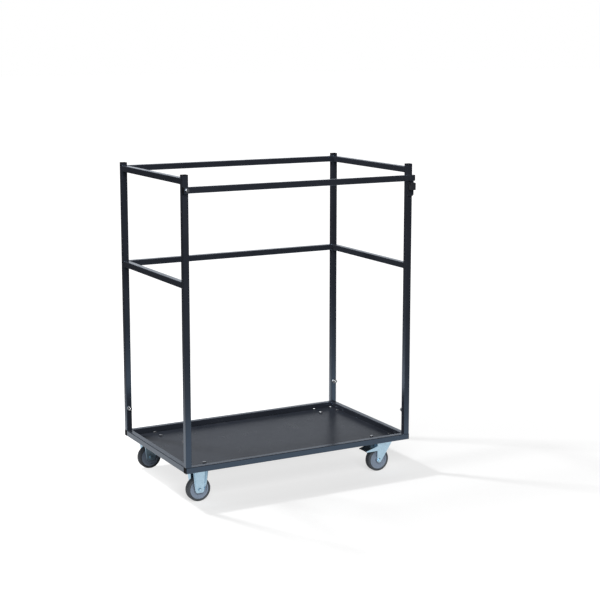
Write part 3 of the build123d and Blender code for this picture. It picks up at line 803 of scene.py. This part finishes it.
@dataclass(frozen=True)
class Bench:
    """Where added pieces are modelled and handed over, with its angle in degrees and its gap in metres."""

    materials: dict[Slot, bpy.types.Material]
    smooth_angle: float = 40.0
    merge_gap: float = 0.00001

    def pick(self, pieces: list[bpy.types.Object]) -> None:
        """Selects only these pieces, with the first one active.

        Args:
            pieces: The pieces.
        """
        bpy.ops.object.select_all(action="DESELECT")
        for piece in pieces:
            piece.select_set(True)
        bpy.context.view_layer.objects.active = pieces[0]

    def edit(self, piece: bpy.types.Object) -> bmesh.types.BMesh:
        """Opens a piece in edit mode with nothing selected.

        Args:
            piece: The piece to open.

        Returns:
            Its edit mesh.
        """
        self.pick([piece])
        bpy.ops.object.mode_set(mode="EDIT")
        bpy.ops.mesh.select_mode(type="VERT")
        bpy.ops.mesh.select_all(action="DESELECT")
        return bmesh.from_edit_mesh(piece.data)

    def merge(self) -> None:
        """Merges the doubled points of the piece that is open, with all of it selected."""
        bpy.ops.mesh.select_all(action="SELECT")
        bpy.ops.mesh.remove_doubles(threshold=self.merge_gap)

    def close(self) -> None:
        """Turns the faces of the piece that is open outwards, and leaves edit mode."""
        bpy.ops.mesh.select_all(action="SELECT")
        bpy.ops.mesh.normals_make_consistent(inside=False)
        bpy.ops.object.mode_set(mode="OBJECT")

    def join(self, pieces: list[bpy.types.Object]) -> bpy.types.Object:
        """Joins pieces into the first one.

        Args:
            pieces: The pieces, one or more.

        Returns:
            The joined piece.
        """
        self.pick(pieces)
        if len(pieces) > 1:
            bpy.ops.object.join()
        return pieces[0]

    def copies(self, piece: bpy.types.Object, places: list[Matrix]) -> bpy.types.Object:
        """Repeats a piece, each copy with its own mesh, and joins the copies.

        Args:
            piece: The piece, modelled at the origin.
            places: Where the copies go.

        Returns:
            The joined copies.
        """
        made = []
        for place in places:
            copy = piece.copy()
            copy.data = piece.data.copy()
            copy.data.transform(place)
            bpy.context.scene.collection.objects.link(copy)
            made.append(copy)
        bpy.data.objects.remove(piece)
        return self.join(made)

    def hand_over(self, piece: bpy.types.Object, name: str, slot: Slot, body: Body) -> None:
        """Dresses a finished piece and lets it ride on its body.

        Args:
            piece: The finished piece.
            name: The piece's name.
            slot: The finish it takes.
            body: The body it rides on.
        """
        self.pick([piece])
        bpy.ops.object.transform_apply(location=True, rotation=True, scale=True)
        bpy.ops.object.shade_smooth_by_angle(angle=math.radians(self.smooth_angle))
        piece.name = name
        piece.data.materials.clear()
        piece.data.materials.append(self.materials[slot])
        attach(piece, body.value)
        LOG.info("%s: %d faces on %s", name, len(piece.data.polygons), body.value)


@dataclass(frozen=True)
class WeldSeams:
    """Fillet seams where the rails meet the uprights, and where the latch plate hangs from its bar."""

    bench: Bench
    length: float = 0.0215
    radius: float = 0.0021
    sides: int = 10
    ripples: int = 8
    valley_share: float = 0.86
    end_share: float = 0.55
    plate_inset: float = 0.003
    side_rails: tuple[str, ...] = ("left_top_rail", "right_top_rail", "left_mid_rail", "right_mid_rail")
    rear_rails: tuple[str, ...] = ("rear_top_rail", "rear_mid_rail")

    def pinch(self, bead: bpy.types.Object, chosen: Callable[[float], bool], share: float) -> None:
        """Narrows some of the rings along an open seam.

        Args:
            bead: The seam, in edit mode.
            chosen: Tells from a ring's X if it is one of them.
            share: The width that they keep.
        """
        bpy.ops.mesh.select_all(action="DESELECT")
        for vert in bmesh.from_edit_mesh(bead.data).verts:
            vert.select_set(chosen(vert.co.x))
        bpy.ops.transform.resize(value=(1.0, share, share), center_override=ORIGIN)

    def bead(self, length: float) -> bpy.types.Object:
        """Models one seam along X at the origin.

        Args:
            length: The seam's length.

        Returns:
            The seam, with its ripples.
        """
        bpy.ops.object.select_all(action="DESELECT")
        bpy.ops.mesh.primitive_cylinder_add(
            vertices=self.sides, radius=self.radius, depth=length, rotation=(0.0, QUARTER_TURN, 0.0)
        )
        bead = bpy.context.active_object
        bpy.ops.object.transform_apply(location=True, rotation=True, scale=True)
        mesh = self.bench.edit(bead)
        bpy.ops.mesh.select_mode(type="EDGE")
        for edge in mesh.edges:
            edge.select_set(abs(edge.verts[0].co.x - edge.verts[1].co.x) > length / 2)
        bpy.ops.mesh.subdivide(number_cuts=2 * self.ripples - 1)
        bpy.ops.mesh.select_mode(type="VERT")
        step = length / (2 * self.ripples)
        self.pinch(bead, lambda x: round((x + length / 2) / step) % 2 == 1, self.valley_share)
        self.pinch(bead, lambda x: abs(x) > length / 2 - step / 2, self.end_share)
        bpy.ops.object.mode_set(mode="OBJECT")
        return bead

    def places(self) -> list[Matrix]:
        """Finds the seams of the rails.

        Returns:
            One place for each seam, above and below each rail end.
        """
        found = []
        for rail in self.side_rails:
            low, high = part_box(rail)
            for y in (low.y, high.y):
                for z in (low.z, high.z):
                    found.append(Matrix.Translation(((low.x + high.x) / 2, y, z)))
        quarter = Matrix.Rotation(QUARTER_TURN, 4, "Z")
        for rail in self.rear_rails:
            low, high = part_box(rail)
            for x in (low.x, high.x):
                for z in (low.z, high.z):
                    found.append(Matrix.Translation((x, (low.y + high.y) / 2, z)) @ quarter)
        return found

    def build(self) -> None:
        """Lays all the seams."""
        rails = self.bench.copies(self.bead(self.length), self.places())
        self.bench.hand_over(rails, "rail_weld_seams", Slot.FRAME_COAT, Body.FRAME)
        low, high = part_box("latch_plate")
        place = Matrix.Translation(((low.x + high.x) / 2, low.y, high.z))
        plate = self.bench.copies(self.bead(high.x - low.x - self.plate_inset), [place])
        self.bench.hand_over(plate, "latch_plate_weld_seam", Slot.FRAME_COAT, Body.CLOSING_BAR)


@dataclass(frozen=True)
class LatchSpring:
    """Coil spring inside the latch's sleeve."""

    bench: Bench
    wire: float = 0.0004
    sides: int = 10
    turns: int = 3
    steps: int = 28

    def build(self) -> None:
        """Winds the coil in the room of its solid."""
        low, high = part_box("latch_spring")
        middle = (low + high) / 2
        reach = (high.x - low.x) / 2 - self.wire
        rise = (high.y - low.y - 2 * self.wire) / self.turns
        bpy.ops.object.select_all(action="DESELECT")
        bpy.ops.mesh.primitive_circle_add(
            vertices=self.sides, radius=self.wire, location=(middle.x, low.y + self.wire, middle.z)
        )
        coil = bpy.context.active_object
        self.bench.edit(coil)
        bpy.ops.mesh.select_all(action="SELECT")
        bpy.ops.transform.translate(value=(reach, 0.0, 0.0))
        bpy.ops.object.mode_set(mode="OBJECT")
        bpy.ops.object.modifier_add(type="SCREW")
        screw = coil.modifiers[-1]
        screw.axis = "Y"
        screw.angle = FULL_TURN
        screw.screw_offset = rise
        screw.iterations = self.turns
        screw.steps = self.steps
        screw.render_steps = self.steps
        bpy.ops.object.modifier_apply(modifier=screw.name)
        self.bench.edit(coil)
        self.bench.merge()
        bpy.ops.mesh.select_all(action="DESELECT")
        bpy.ops.mesh.select_non_manifold()
        bpy.ops.mesh.fill()
        self.bench.close()
        self.bench.hand_over(coil, "latch_coil", Slot.BRIGHT_STEEL, Body.CLOSING_BAR)
        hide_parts("latch_spring")


@dataclass(frozen=True)
class TyreRings:
    """Moulded rings on both sides of one tyre."""

    bench: Bench
    tyre: str
    body: Body
    rib: float = 0.0006
    sides: int = 8
    radii: tuple[float, ...] = (0.0425, 0.0445)
    steps: int = 72

    def ring(self, axle: Vector, radius: float, y: float) -> bpy.types.Object:
        """Spins one ring about the axle.

        Args:
            axle: The middle of the wheel.
            radius: The ring's own radius.
            y: The place of the tyre's side.

        Returns:
            The ring.
        """
        bpy.ops.object.select_all(action="DESELECT")
        bpy.ops.mesh.primitive_circle_add(
            vertices=self.sides, radius=self.rib, location=(axle.x + radius, y, axle.z)
        )
        ring = bpy.context.active_object
        bpy.ops.object.transform_apply(location=True, rotation=True, scale=True)
        self.bench.edit(ring)
        bpy.ops.mesh.select_all(action="SELECT")
        bpy.ops.mesh.spin(steps=self.steps, angle=FULL_TURN, center=axle, axis=ALONG_Y)
        self.bench.merge()
        self.bench.close()
        return ring

    def build(self) -> None:
        """Makes the tyre's rings as one piece."""
        low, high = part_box(self.tyre)
        axle = (low + high) / 2
        rings = [self.ring(axle, radius, y) for radius in self.radii for y in (low.y, high.y)]
        joined = self.bench.join(rings)
        self.bench.hand_over(joined, f"{self.tyre}_side_rings", Slot.TYRE_RUBBER, self.body)


def dress_nodes(frame: dict[str, Any], materials: dict[Slot, bpy.types.Material]) -> None:
    """Gives every solid the finish of its slot.

    Args:
        frame: The trolley's solids and its record.
        materials: The finishes.
    """
    for part in frame["record"]["subparts"]:
        node = frame["nodes"][part["node"]]
        node.data.materials.clear()
        node.data.materials.append(materials[Slot(part["material_slot"])])
        LOG.info("%s: %s", part["node"], part["material_slot"])


def main() -> None:
    """Builds the scene in order."""
    logging.basicConfig(level=logging.INFO, format="%(name)s %(message)s")
    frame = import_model()
    ViewPoint().build()
    Studio().build()
    EffectLibrary().build()
    materials = {finish.slot: finish.build() for finish in FINISHES}
    dress_nodes(frame, materials)
    bench = Bench(materials)
    WeldSeams(bench).build()
    LatchSpring(bench).build()
    for body in WHEELS:
        TyreRings(bench, body.value.replace("wheel", "tyre"), body).build()


if __name__ == "__main__":
    main()
